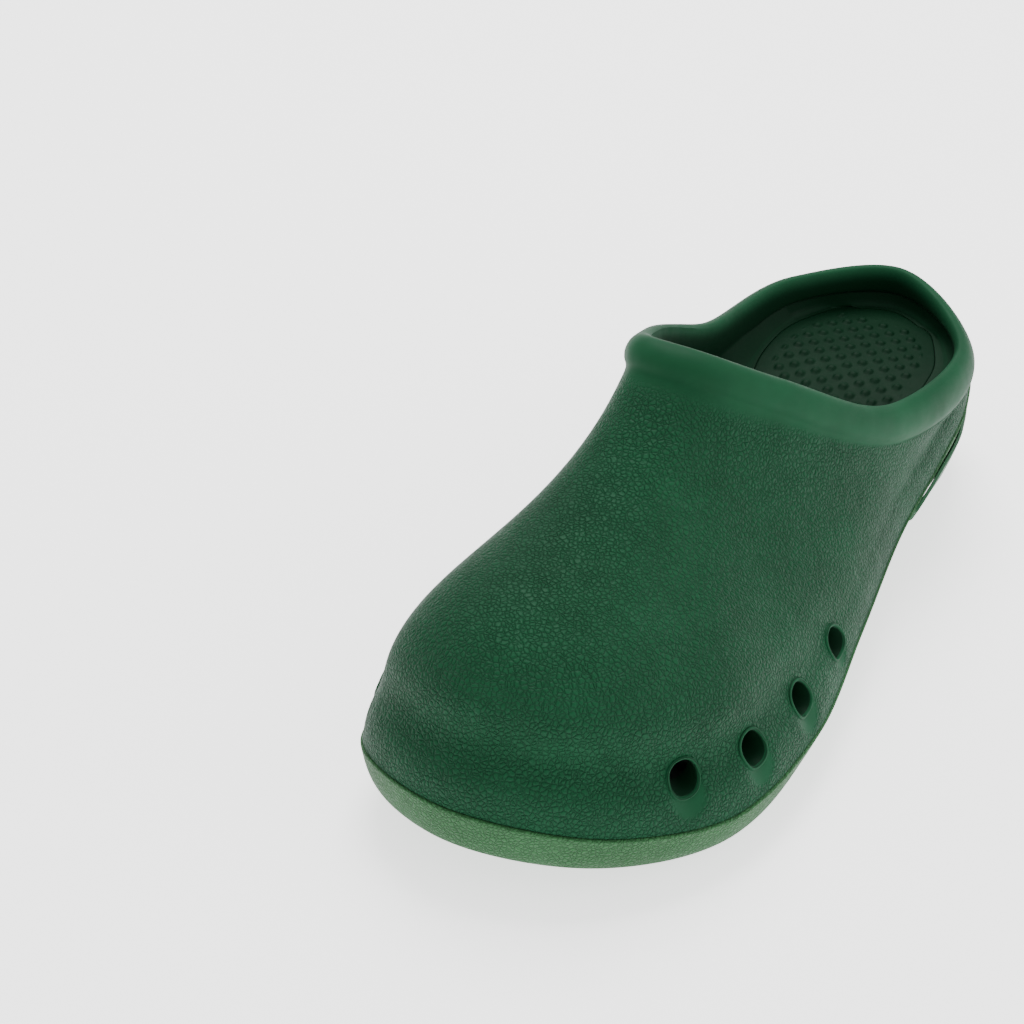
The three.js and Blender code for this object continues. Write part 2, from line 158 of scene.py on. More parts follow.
NUB_PITCH = (7.6, 7.4)
NUB_RADIUS = 1.75
NUB_HEIGHT = 1.0
NUB_MARGIN = 3.6      # plain border of the insole
NUB_MARGIN_ENDS = 7.5
NUB_FADE = 2.0
INSOLE_COLUMNS = 190
INSOLE_EDGE = [(0.0, 0.35), (0.06, 0.12), (0.2, 0.03), (0.45, 0.0)]   # in from the side, below the top
SOLE_EDGE = [(-0.2, 0.12), (0.35, 0.0), (1.2, 0.0)]   # the same, over the sole's lip
LIP_DROP = 0.45
FLASH_HEIGHT = 0.5    # moulding flash along the collar's inner edge
FLASH_AT = (118, 4.0)      # its place on the band and its width, degrees
FLASH_THROAT = (0.3, 0.1)  # how far along the collar it runs from the toe side, and fades over
PANEL_GRID = (300, 64)
PANEL_STRETCH = 1.08       # the panel follows the outline, so it is longer than its span
PANEL_ROUND = (0.75, 1.1)  # rounded edge: share of the thickness, width
PANEL_GROOVE = (0.55, 2.3, 0.42)     # outline groove: depth, distance from the edge, half width
PANEL_WAVE = (0.75, 2.3, 0.65, 2.5)  # wavy groove: depth, swing, half width, number of waves
PANEL_PLAIN_ENDS = (10, 9, 2)        # where the wave starts, where its groove starts, its fade
PANEL_DIMPLES = (4, 0.6, 3.1, 0.75)  # dimples: number, depth, distance from the middle line, radius
PANEL_DIMPLE_AT = (0.75, 5.0, 3)     # the first one and their spacing, in waves, and a shift
PANEL_BACK = 0.1


# ---------- curves ----------

def along(table, position, column=1):
    """Smooth monotone curve through a table's rows, at one position or an array of them."""
    rows = sorted(table)
    xs = np.array([r[0] for r in rows], float)
    vs = np.array([r[column] for r in rows], float)
    rate = np.diff(vs) / np.diff(xs)
    slope = np.empty(len(xs))
    slope[0], slope[-1] = rate[0], rate[-1]
    before, after = rate[:-1], rate[1:]
    with np.errstate(divide="ignore", invalid="ignore"):
        mean = 2 * before * after / (before + after)
    slope[1:-1] = np.where(before * after > 0, mean, 0)
    p = np.clip(np.asarray(position, float), xs[0], xs[-1])
    k = np.clip(np.searchsorted(xs, p, side="right") - 1, 0, len(xs) - 2)
    span = xs[k + 1] - xs[k]
    u = (p - xs[k]) / span
    a = 2 * u**3 - 3 * u**2 + 1
    b = u**3 - 2 * u**2 + u
    c = u**3 - u**2
    return a * vs[k] + b * span * slope[k] + (1 - a) * vs[k + 1] + c * span * slope[k + 1]


def closed_curve(points):
    """Closed centripetal Catmull-Rom curve: returns f(t) for t in 0..1, an array in, rows out."""
    pts = np.array(points, float)
    n = len(pts)

    def at(t):
        t = np.asarray(t, float) % 1.0
        x = t * n
        i = np.floor(x).astype(int) % n
        w = (x - np.floor(x))[..., None]
        p0, p1, p2, p3 = (pts[(i + d) % n] for d in (-1, 0, 1, 2))
        d0 = np.linalg.norm(p1 - p0, axis=-1, keepdims=True) ** 0.5
        d1 = np.linalg.norm(p2 - p1, axis=-1, keepdims=True) ** 0.5
        d2 = np.linalg.norm(p3 - p2, axis=-1, keepdims=True) ** 0.5
        m1 = ((p1 - p0) / d0 - (p2 - p0) / (d0 + d1) + (p2 - p1) / d1) * d1
        m2 = ((p2 - p1) / d1 - (p3 - p1) / (d1 + d2) + (p3 - p2) / d2) * d1
        return (
            p1 + m1 * w
            + (-3 * p1 + 3 * p2 - 2 * m1 - m2) * w**2
            + (2 * p1 - 2 * p2 + m1 + m2) * w**3
        )

    return at


stations = (
    [HEEL_TIP] + [(lat, y) for y, lat, med in PLAN] + [TOE_TIP]
    + [(med, y) for y, lat, med in PLAN][::-1]
)
plan_curve = closed_curve(stations)
collar_curve = closed_curve(COLLAR)
T = np.arange(AROUND) / AROUND
STEP = 1e-4
HALVINGS = 40


def unit(v):
    return v / np.maximum(np.linalg.norm(v, axis=-1, keepdims=True), 1e-12)


def plan_inward(t):
    tangent = plan_curve(t + STEP) - plan_curve(t - STEP)
    return unit(np.stack([tangent[..., 1], -tangent[..., 0]], -1))


def inset_point(t, inset, z=None):
    """Outline point moved inwards in plan; its height is given or a function of y."""
    t, inset = np.broadcast_arrays(np.asarray(t, float), np.asarray(inset, float))
    xy = plan_curve(t) + plan_inward(t) * inset[..., None]
    if callable(z):
        z = z(xy[..., 1])
    height = np.zeros(xy.shape[:-1]) if z is None else np.broadcast_to(z, xy.shape[:-1])
    return np.concatenate([xy, height[..., None]], -1)


def parting_height(y):
    return along(PARTING, y)


def underside_height(y):
    return along(UNDERSIDE, y)


def floor_height(y):
    return along(FLOOR, y)


def smooth(x):
    x = np.clip(x, 0, 1)
    return x * x * (3 - 2 * x)


def collar_frame(t):
    centre = collar_curve(t)
    tangent = unit(collar_curve(t + STEP) - collar_curve(t - STEP))
    outward = unit(np.stack([-tangent[..., 1], tangent[..., 0], 0 * tangent[..., 0]], -1))
    upright = unit(np.cross(outward, tangent))
    upright = np.where(upright[..., 2:3] < 0, -upright, upright)
    toeward = np.maximum(0, -outward[..., 1])
    tilt = np.radians(BAND_TILT[0] + (BAND_TILT[1] - BAND_TILT[0]) * toeward**1.5)[..., None]
    face = outward * np.cos(tilt) + upright * np.sin(tilt)
    rising = upright * np.cos(tilt) - outward * np.sin(tilt)
    half_width = (BAND_HALF_WIDTH * along(BAND_NARROWING, np.asarray(t, float) % 1.0))[..., None]
    return centre + rising * (half_width - BAND_HALF_WIDTH), face, rising, half_width


def band_point(collar, degrees):
    centre, face, rising, half_width = collar
    a = math.radians(degrees)
    return (
        centre + face * (BAND_THICKNESS[math.cos(a) < 0] * math.cos(a))
        + rising * (half_width * math.sin(a))
    )


def insole_inset(t):
    y = plan_curve(t)[..., 1]
    return np.where((t % 1.0) < 0.5, along(INSOLE_INSET, y, 1), along(INSOLE_INSET, y, 2))


def flange_size(t):
    y = plan_curve(t)[..., 1]
    lateral = (t % 1.0) < 0.5
    inset = np.where(lateral, along(FLANGE, y, 1), along(FLANGE, y, 2))
    # the two sides have different insets, so they are eased into each other round the tips
    other = np.where(lateral, along(FLANGE, y, 2), along(FLANGE, y, 1))
    near = np.minimum(np.abs(((t + 0.25) % 0.5) - 0.25), 0.03) / 0.03
    return inset * (0.5 + 0.5 * near) + other * (0.5 - 0.5 * near), along(FLANGE, y, 3)


def skin_points(t, shares):
    """Outer skin from the flange's top to the underside of the band, shape (t, share, 3)."""
    inset, rise = flange_size(t)
    foot = inset_point(t, inset)
    foot[:, 2] = parting_height(foot[:, 1]) + rise
    centre, face, rising, half_width = collar_frame(t)
    end = centre + face * (BAND_THICKNESS[0] - BAND_PROUD) - rising * (half_width * BAND_OVERLAP)
    length = np.linalg.norm(end - foot, axis=1)[:, None]
    inward = np.concatenate([plan_inward(t), np.zeros((len(t), 1))], 1)
    full = along(FULLNESS, foot[:, 1])[:, None]
    up = np.array([0, 0, 1.0])
    one = foot + up * length * full + inward * length * SKIN_LEAN
    two = end - rising * length * along(SKIN_RUN, foot[:, 1])[:, None]
    s = np.asarray(shares, float)[None, :, None]
    a, b, c, d = (p[:, None, :] for p in (foot, one, two, end))
    return a * (1 - s) ** 3 + 3 * b * s * (1 - s) ** 2 + 3 * c * s**2 * (1 - s) + d * s**3


def grid_normals(p):
    """Normals of a (around, row, 3) grid that is closed round the shoe."""
    du = np.roll(p, -1, 0) - np.roll(p, 1, 0)
    dv = np.gradient(p, axis=1)
    return unit(np.cross(dv, du))


def outward_normals(p, centre):
    normals = grid_normals(p)
    return -normals if ((p - centre) * normals).sum() < 0 else normals


def plan_parameter(y, lateral):
    """Place along the outline, 0 to 1, that has this y on the given side."""
    low, high = (0.0, 0.5) if lateral else (1.0, 0.5)
    for _ in range(HALVINGS):
        middle = (low + high) / 2
        if plan_curve(middle)[1] > y:
            low = middle
        else:
            high = middle
    return (low + high) / 2


# ---------- mesh helpers ----------

def mesh_object(name, vertices_mm, faces, smooth_faces=True):
    mesh = bpy.data.meshes.new(name)
    mesh.from_pydata((np.asarray(vertices_mm) * MM).tolist(), [], faces)
    mesh.update()
    bm = bmesh.new()
    bm.from_mesh(mesh)
    bmesh.ops.recalc_face_normals(bm, faces=bm.faces)
    bm.to_mesh(mesh)
    bm.free()
    if smooth_faces:
        mesh.polygons.foreach_set("use_smooth", [True] * len(mesh.polygons))
    obj = bpy.data.objects.new(name, mesh)
    bpy.context.scene.collection.objects.link(obj)
    return obj


def loft_faces(rings, size, join_ends=False):
    faces = []
    last = rings if join_ends else rings - 1
    for r in range(last):
        for i in range(size):
            j = (i + 1) % size
            q = (r + 1) % rings
            faces.append((r * size + i, r * size + j, q * size + j, q * size + i))
    return faces


def apply_modifiers(obj):
    graph = bpy.context.evaluated_depsgraph_get()
    mesh = bpy.data.meshes.new_from_object(obj.evaluated_get(graph))
    old = obj.data
    obj.modifiers.clear()
    obj.data = mesh
    bpy.data.meshes.remove(old)


def attribute(obj, name, values):
    layer = obj.data.attributes.new(name, "FLOAT", "POINT")
    layer.data.foreach_set("value", np.asarray(values, np.float32).ravel())


# ---------- upper ----------

def vent_list():
    """Every vent as its outer end, inner end, direction and scoop size."""
    vents = []
    for lateral, ys in ((True, LATERAL_VENTS), (False, MEDIAL_VENTS)):
        for y in ys:
            t = plan_parameter(y, lateral)
            blind = y > BLIND_FROM
            reach = BLIND_REACH if blind else VENT_REACH
            z = parting_height(y) + along(VENT_RISE, y)
            a = inset_point(t, reach[0], z)
            b = inset_point(t, reach[1], z)
            size = 1.0 if y < SMALL_SCOOP[0] else SMALL_SCOOP[1]
            vents.append((a, b, unit(b - a), size))
    return vents


def scoop(points, normals, vents):
    """Hollows the skin round every vent; returns the points and how smooth the skin is there."""
    move = np.zeros(points.shape[:-1])
    plain = np.zeros(points.shape[:-1])
    for a, b, direction, size in vents:
        rel = points - a
        depth = rel @ direction
        side = unit(np.cross(direction, [0, 0, 1.0]))
        x = rel @ side
        z = rel[..., 2]
        near = (depth > 0) & (depth < SCOOP_RUN)
        middle = z + SCOOP_DROP * size
        reach = SCOOP_REACH * size
        wide = np.sqrt((x / reach) ** 2 + (middle / (SCOOP_REACH * SCOOP_TALL * size)) ** 2)
        hollow = np.where(near, 1 - smooth(wide), 0)
        move -= SCOOP_DEPTH * size * hollow
        plain = np.maximum(plain, smooth((hollow - 0.05) * 3.0))
    return points + normals * move[..., None], plain


def make_upper():
    """One closed loop per step round the shoe: flange, skin, collar band, inside, ledge."""
    vents = vent_list()
    y = plan_curve(T)[:, 1]
    inset, rise = flange_size(T)
    edge = inset_point(T, 0.0)
    edge[:, 2] = parting_height(edge[:, 1]) + GAP
    foot = skin_points(T, [0.0])[:, 0]
    bulge = edge + (foot - edge) * FLANGE_BULGE[0]
    bulge[:, 2] = edge[:, 2] + rise * FLANGE_BULGE[1]
    q = (np.arange(FLANGE_ROWS) / FLANGE_ROWS)[None, :, None]
    flange = (
        edge[:, None] * (1 - q) ** 2 + 2 * bulge[:, None] * q * (1 - q) + foot[:, None] * q**2
    )
    skin = skin_points(T, np.linspace(0, 1, SKIN_ROWS))
    outer = np.concatenate([flange, skin], 1)
    # the turn between flange and vamp is rounded
    for _ in range(TURN_PASSES):
        outer[:, 1:-1] = outer[:, 1:-1] * 0.5 + 0.25 * (outer[:, :-2] + outer[:, 2:])
    centre = outer.mean((0, 1))
    normals = outward_normals(outer, centre)
    above = outer[..., 2] - outer[:, FLANGE_ROWS, 2][:, None]
    valley = np.exp(-(((above - VALLEY_AT) / VALLEY_WIDTH) ** 2)) * along(VALLEY, outer[..., 1])
    valley = valley * smooth((outer[..., 0] - VALLEY_FADE[0]) / VALLEY_FADE[1])
    outer = outer - normals * valley[..., None]
    normals = outward_normals(outer, centre)
    outer, plain = scoop(outer, normals, vents)
    rows_from_end = np.arange(outer.shape[1])[::-1]
    plain = np.maximum(plain, np.exp(-(rows_from_end / PLAIN_ROWS) ** 2)[None, :])

    collar = collar_frame(T)
    angles = np.linspace(*BAND_ANGLES, BAND_ROWS)
    band = np.stack([band_point(collar, a) for a in angles], 1)
    ledge_inset = insole_inset(T) - along(SEAM_GAP, y)
    ledge = inset_point(T, ledge_inset)
    ledge[:, 2] = floor_height(ledge[:, 1])
    top = ledge[:, 2] + FILLET
    inner_band = angles >= BAND_INNER
    floor_limit = top[:, None] + np.linspace(*BAND_ABOVE_LEDGE, int(inner_band.sum()))[None, :]
    band[:, inner_band, 2] = np.maximum(band[:, inner_band, 2], floor_limit)
    # thin moulding flash along the band's inner top edge, from shoulder to shoulder of the throat
    throat = smooth((FLASH_THROAT[0] - np.abs(T - 0.5)) / FLASH_THROAT[1])
    for k, a in enumerate(angles):
        ridge = math.exp(-(((a - FLASH_AT[0]) / FLASH_AT[1]) ** 2))
        band[:, k, 2] += FLASH_HEIGHT * ridge * throat

    wall_foot = inset + WALL
    turn = FILLET_TURN * np.minimum(FILLET, ledge_inset - wall_foot)
    beside = skin[:, -1, 2] < ledge[:, 2] + 1
    last = band[:, -1]
    dropped = last + (ledge - last) * FILLET_TURN
    foot_in = np.where(beside[:, None], dropped, inset_point(T, wall_foot + turn))
    foot_in[:, 2] = floor_height(foot_in[:, 1]) + turn + LEDGE_FALL
    shares = np.linspace(1, 0, INNER_ROWS)[1:]
    fine = np.linspace(0, 1, 60)
    full = skin_points(T, fine)
    lowest = np.array(
        [np.interp(z, h, fine) if h[0] < z else 0.0 for z, h in zip(top, full[..., 2])])
    lowest = np.minimum(lowest, 1.0)
    for _ in range(12):
        lowest = (np.roll(lowest, 1) + lowest * 2 + np.roll(lowest, -1)) / 4
    skin_in = np.empty((AROUND, len(shares), 3))
    offset = full - outward_normals(full, centre) * WALL
    for i in range(AROUND):
        s = lowest[i] + (1 - lowest[i]) * shares
        for axis in range(3):
            skin_in[i, :, axis] = np.interp(s, fine, offset[i, :, axis])
    k = (np.arange(len(shares)) + 1) / (len(shares) + 1)
    filled = last[:, None] + (foot_in - last)[:, None] * k[None, :, None]
    # where the inner wall is short it is a straight drop; the change is spread over a few steps
    short = ((lowest > 1 - FILLET_TURN) | (skin_in[:, -1, 2] < foot_in[:, 2] + 1)).astype(float)
    for _ in range(SHORT_PASSES):
        short = (np.roll(short, 1) + short * 2 + np.roll(short, -1)) / 4
    inner = skin_in * (1 - short[:, None, None]) + filled * short[:, None, None]
    under = ledge.copy()
    under[:, 2] = parting_height(ledge[:, 1]) + GAP
    mid = foot_in * 0.5 + ledge * 0.5
    mid[:, 2] = ledge[:, 2] + 0.25
    tail = np.stack([foot_in, mid, ledge, under], 1)
    back = np.concatenate([inner, tail], 1)
    stop = len(shares) + 1
    for _ in range(BACK_PASSES):
        beside_rows = back[:, : stop - 1] + back[:, 2 : stop + 1]
        back[:, 1:stop] = back[:, 1:stop] * 0.5 + 0.25 * beside_rows
    loops = np.concatenate([outer, band, back], 1)
    n_outer, n_band, n_back = outer.shape[1], band.shape[1], back.shape[1]
    size = loops.shape[1]
    from_step = np.arange(size) - n_outer + 0.5
    weight = np.exp(-((from_step / SHOULDER_ROWS) ** 2))[1:-1, None]
    for _ in range(SHOULDER_PASSES):
        between = (loops[:, :-2] + loops[:, 2:]) / 2
        loops[:, 1:-1] += SHOULDER_PULL * weight * (between - loops[:, 1:-1])
    # 0 grained skin, 1 smooth collar, inside and scoops
    collar_mask = np.concatenate(
        [plain, np.ones((AROUND, n_band)), np.ones((AROUND, n_back))], 1
    )
    # painted shade: the band's inner face and the whole inside are blended towards a dark green, as
    # shade inside the shoe
    inside_shade_turn = smooth((angles - INSIDE_SHADE_FROM[0]) / INSIDE_SHADE_FROM[1])
    inside = np.concatenate(
        [np.zeros((AROUND, n_outer)), np.tile(inside_shade_turn[None, :], (AROUND, 1)),
         np.ones((AROUND, n_back))], 1
    )
    inside[:, -5:-3] = FILLET_SHADE
    obj = mesh_object("upper_shell", loops.reshape(-1, 3), loft_faces(AROUND, size, True))
    attribute(obj, "plain", collar_mask)
    attribute(obj, "inside", inside)
    shell = BVHTree.FromPolygons(
        [Vector(v) for v in loops.reshape(-1, 3)], loft_faces(AROUND, size, True))
    lips = [rim(f"rim_{k}", shell, a, direction) for k, (a, b, direction, _) in enumerate(vents)]
    bores = [bore(f"bore_{k}", a, b, direction) for k, (a, b, direction, _) in enumerate(vents)]
    for operation, tools in (("DIFFERENCE", bores), ("UNION", lips)):
        tool = joined(tools)
        cut = obj.modifiers.new(operation, "BOOLEAN")
        cut.operation, cut.solver, cut.object = operation, "EXACT", tool
        apply_modifiers(obj)
        bpy.data.objects.remove(tool)
    mark_vents(obj, vents)
    obj.data.polygons.foreach_set("use_smooth", [True] * len(obj.data.polygons))
    obj.data.set_sharp_from_angle(angle=math.radians(SHARP_DEGREES))
    return obj


def mark_vents(obj, vents):
    """Lips and bores have no grain; the bores get the same painted shade as the inside."""
    points = np.empty(len(obj.data.vertices) * 3)
    obj.data.vertices.foreach_get("co", points)
    points = points.reshape(-1, 3) / MM
    layers = {}
    for name in ("plain", "inside"):
        layers[name] = np.empty(len(points), np.float32)
        obj.data.attributes[name].data.foreach_get("value", layers[name])
    for a, b, direction, _ in vents:
        rel = points - a
        depth = rel @ direction
        off_axis = np.linalg.norm(rel - depth[:, None] * direction, axis=1)
        within = (depth > 0) & (depth < np.linalg.norm(b - a) + 0.1)
        layers["plain"][within & (off_axis < VENT_RADIUS + 2 * RIM[0])] = 1
        layers["inside"][within & (off_axis < VENT_RADIUS + 0.02)] = 1
    for name, values in layers.items():
        obj.data.attributes[name].data.foreach_set("value", values)


def joined(pieces):
    with bpy.context.temp_override(
        active_object=pieces[0], selected_editable_objects=pieces, selected_objects=pieces
    ):
        bpy.ops.object.join()
    return pieces[0]


def spokes(direction, count):
    """Unit vectors square to a bore, one per step round it."""
    side = unit(np.cross(direction, [0, 0, 1.0]))
    turns = 2 * math.pi * np.arange(count)[:, None] / count
    return side * np.cos(turns) + np.array([0, 0, 1.0]) * np.sin(turns)


def rim(name, shell, a, direction):
    """Thin raised lip that follows the skin round a vent's mouth."""
    offset, half_width, height = RIM
    radial = spokes(direction, RIM_STEPS)
    starts = a + radial * (VENT_RADIUS + offset)
    depth = np.array([shell.ray_cast(Vector(p), Vector(direction))[3] for p in starts], float)
    for _ in range(RIM_PASSES):
        depth = (np.roll(depth, 1) + 2 * depth + np.roll(depth, -1)) / 4
    middles = starts + direction * depth[:, None]
    rings = []
    for k in range(RIM_SIDES):
        turn = 2 * math.pi * k / RIM_SIDES
        out = radial * half_width * math.cos(turn)
        rings.append(middles + out - direction * height * math.sin(turn))
    vertices = np.array(rings).reshape(-1, 3)
    return mesh_object(name, vertices, loft_faces(RIM_SIDES, RIM_STEPS, True))


def bore(name, a, b, direction):
    sides = VENT_SIDES
    ring = spokes(direction, sides) * VENT_RADIUS
    vertices = np.concatenate([a + ring, b + ring])
    faces = [(i, (i + 1) % sides, sides + (i + 1) % sides, sides + i) for i in range(sides)]
    faces.append(tuple(range(sides))[::-1])
    faces.append(tuple(range(sides, 2 * sides)))
    return mesh_object(name, vertices, faces, smooth_faces=False)


# ---------- sole ----------

def sole_inset(share, y):
    return along(SOLE_SIDE, share) + along(TUCK, y) * (1 - share)


def make_sole():
    rings = []
    shares = np.concatenate([np.linspace(0, 0.16, 9), np.linspace(0.2, 0.94, 20)])
    y0 = plan_curve(T)[:, 1]
    for share in shares:
        p = inset_point(T, sole_inset(share, y0))
        p[:, 2] = underside_height(p[:, 1]) * (1 - share) + parting_height(p[:, 1]) * share
        rings.append(p)
    lip = inset_point(T, -SOLE_LIP * 0.95)
    lip[:, 2] = parting_height(lip[:, 1]) - LIP_DROP
    rings.append(lip)
    for inset, drop in SOLE_EDGE:
        p = inset_point(T, inset)
        p[:, 2] = parting_height(p[:, 1]) - drop
        rings.append(p)
    inset = insole_inset(T)
    foot = inset_point(T, inset)
    foot[:, 2] = parting_height(foot[:, 1])
    top = inset_point(T, inset)
    top[:, 2] = floor_height(top[:, 1]) - along(INSOLE_THICKNESS, top[:, 1]) - GAP
    rings += [foot, top]
    rings = np.array(rings)
    count = len(rings)
    faces = loft_faces(count, AROUND)
    vertices = list(rings.reshape(-1, 3))
    faces += cap_faces(0, AROUND) + cap_faces((count - 1) * AROUND, AROUND)
    return mesh_object("sole_body", np.array(vertices), faces)


def cap_faces(offset, size):
    """Strips straight across a ring from the lateral to the medial side."""
    faces = [(offset, offset + 1, offset + size - 1)]
    for i in range(1, size // 2 - 1):
        faces.append((offset + i, offset + i + 1, offset + size - i - 1, offset + size - i))
    half = size // 2
    faces.append((offset + half - 1, offset + half, offset + half + 1))
    return faces


# ---------- insole with nubs ----------

def make_insole():
    inset = insole_inset(T)
    bottom = inset_point(T, inset)
    bottom[:, 2] = floor_height(bottom[:, 1]) - along(INSOLE_THICKNESS, bottom[:, 1])
    rings = [bottom]
    for extra, below in INSOLE_EDGE:
        p = inset_point(T, inset + extra)
        p[:, 2] = floor_height(p[:, 1]) - below
        rings.append(p)
    # the top is a fine grid of its own, from the edge ring to the middle line
    edge = rings[-1]
    half = AROUND // 2
    lateral = edge[1:half]
    medial = edge[half + 1:][::-1]
    columns = INSOLE_COLUMNS
    w = np.linspace(0, 1, columns + 1)
    top = lateral[:, None] * (1 - w)[None, :, None] + medial[:, None] * w[None, :, None]
    x, y = top[..., 0], top[..., 1]
    z = floor_height(y)
    width = np.linalg.norm(lateral - medial, axis=1)[:, None]
    from_side = np.minimum(w[None, :], 1 - w[None, :]) * width
    end_heel = np.abs(edge[0, 1] - y)
    end_toe = np.abs(y - edge[half, 1])
    pitch_x, pitch_y = NUB_PITCH
    row = np.round(y / (pitch_y / 2))
    best = np.zeros_like(z)
    for shift in (-1, 0, 1):
        cy = (row + shift) * (pitch_y / 2)
        stagger = np.mod(row + shift, 2) * pitch_x / 2
        cx = np.round((x - stagger) / pitch_x) * pitch_x + stagger
        d = np.sqrt((x - cx) ** 2 + (y - cy) ** 2) / NUB_RADIUS
        dome = np.sqrt(np.clip(1 - d**2, 0, 1)) * smooth((1 - d) * 3)
        best = np.maximum(best, np.where(d < 1, dome, 0))
    fade = smooth((from_side - NUB_MARGIN) / NUB_FADE)
    for end in (end_heel, end_toe):
        fade = fade * smooth((end - NUB_MARGIN_ENDS) / NUB_FADE)
    z = z + NUB_HEIGHT * best * fade
    top[..., 2] = z
    rings = np.array(rings)
    count = len(rings)
    faces = loft_faces(count, AROUND)
    vertices = list(rings.reshape(-1, 3))
    faces += cap_faces(0, AROUND)
    base = (count - 1) * AROUND
    rows = top.shape[0]
    index = np.empty((rows, columns + 1), int)
    for r in range(rows):
        index[r, 0] = base + 1 + r
        index[r, columns] = base + AROUND - 1 - r
        for c in range(1, columns):
            index[r, c] = len(vertices)
            vertices.append(top[r, c])
    for r in range(rows - 1):
        for c in range(columns):
            faces.append((index[r, c], index[r + 1, c], index[r + 1, c + 1], index[r, c + 1]))
    for c in range(columns):
        faces.append((base, index[0, c], index[0, c + 1]))
        faces.append((base + half, index[rows - 1, c + 1], index[rows - 1, c]))
    return mesh_object("insole_footbed", np.array(vertices), faces)


# ---------- heel panels ----------

def make_panel(name, lateral):
    columns, rows = PANEL_GRID
    start, end = (plan_parameter(y, lateral) for y in PANEL_SPAN)
    c = np.linspace(0, 1, columns + 1)[:, None]
    v = np.linspace(-1, 1, rows + 1)[None, :]
    t = start + (end - start) * c
    y = plan_curve(t)[..., 1]
    half = PANEL_HALF_HEIGHT * np.maximum(PANEL_END, 1 - np.abs(2 * c - 1) ** 4) ** 0.5
    base, top = underside_height(y), parting_height(y)
    z = base + (top - base) * PANEL_MIDDLE + half * v
    # distance along and across, in millimetres
    length = abs(PANEL_SPAN[1] - PANEL_SPAN[0]) * PANEL_STRETCH
    sx = c * length + 0 * v
    sz = half * v + 0 * c
    edge = np.minimum(half - np.abs(sz), np.minimum(sx, length - sx) * 0.9)
    share, width = PANEL_ROUND
    relief = -PANEL_THICKNESS * share * (1 - smooth(edge / width)) ** 2
    depth, place_in, width = PANEL_GROOVE
    relief -= depth * np.exp(-(((edge - place_in) / width) ** 2))
    wave_start, groove_start, fade = PANEL_PLAIN_ENDS
    wave_depth, swing, width, waves = PANEL_WAVE
    wave_length = length - 2 * wave_start

    def swinging(x):
        return np.sin((x - wave_start) / wave_length * 2 * math.pi * waves)

    inside = smooth((sx - groove_start) / fade) * smooth((length - groove_start - sx) / fade)
    relief -= wave_depth * np.exp(-(((sz - swing * swinging(sx)) / width) ** 2)) * inside
    dimples, depth, away, radius = PANEL_DIMPLES
    first, spacing, shift = PANEL_DIMPLE_AT
    for k in range(dimples):
        px = wave_start + wave_length * (k + first) / spacing + shift
        pz = -away if swinging(px) > 0 else away
        relief -= depth * np.exp(-(((sx - px) ** 2 + (sz - pz) ** 2) / radius**2))
    stand = GAP + PANEL_THICKNESS + relief
    share = (z - base) / (top - base)
    outer = inset_point(t + 0 * v, sole_inset(share, y) - stand)
    outer[..., 2] = z
    inner = inset_point(t + 0 * v, sole_inset(share, y) - (GAP + PANEL_BACK))
    inner[..., 2] = z
    loops = np.concatenate([outer, inner[:, ::-1]], 1)
    size = loops.shape[1]
    faces = loft_faces(columns + 1, size)
    for offset in (0, columns * size):
        for r in range(rows):
            faces.append((offset + r, offset + r + 1, offset + size - 2 - r, offset + size - 1 - r))
    return mesh_object(name, loops.reshape(-1, 3), faces)


# ---------- materials ----------

def srgb(r, g, b):
    def linear(c):
        c /= 255
        return c / 12.92 if c <= 0.04045 else ((c + 0.055) / 1.055) ** 2.4
    return linear(r), linear(g), linear(b), 1.0


def new_material(name):
    material = bpy.data.materials.new(name)
    material.use_nodes = True
    tree = material.node_tree
    shader = tree.nodes["Principled BSDF"]
    return material, tree, shader


def node(tree, kind, **settings):
    made = tree.nodes.new(kind)
    for key, value in settings.items():
        if key in made.inputs:
            made.inputs[key].default_value = value
        else:
            setattr(made, key, value)
    return made


def ramp(tree, source, stops):
    made = tree.nodes.new("ShaderNodeValToRGB")
    elements = made.color_ramp.elements
    while len(elements) < len(stops):
        elements.new(0.5)
    for element, (position, colour) in zip(elements, stops):
        element.position, element.color = position, colour
    tree.links.new(source, made.inputs[0])
    return made.outputs[0]


def math_node(tree, operation, a, b):
    made = tree.nodes.new("ShaderNodeMath")
    made.operation = operation
    for socket, value in zip(made.inputs, (a, b)):
        if isinstance(value, (int, float)):
            socket.default_value = value
        else:
            tree.links.new(value, socket)
    return made.outputs[0]


def grey(v):
    return (v, v, v, 1.0)


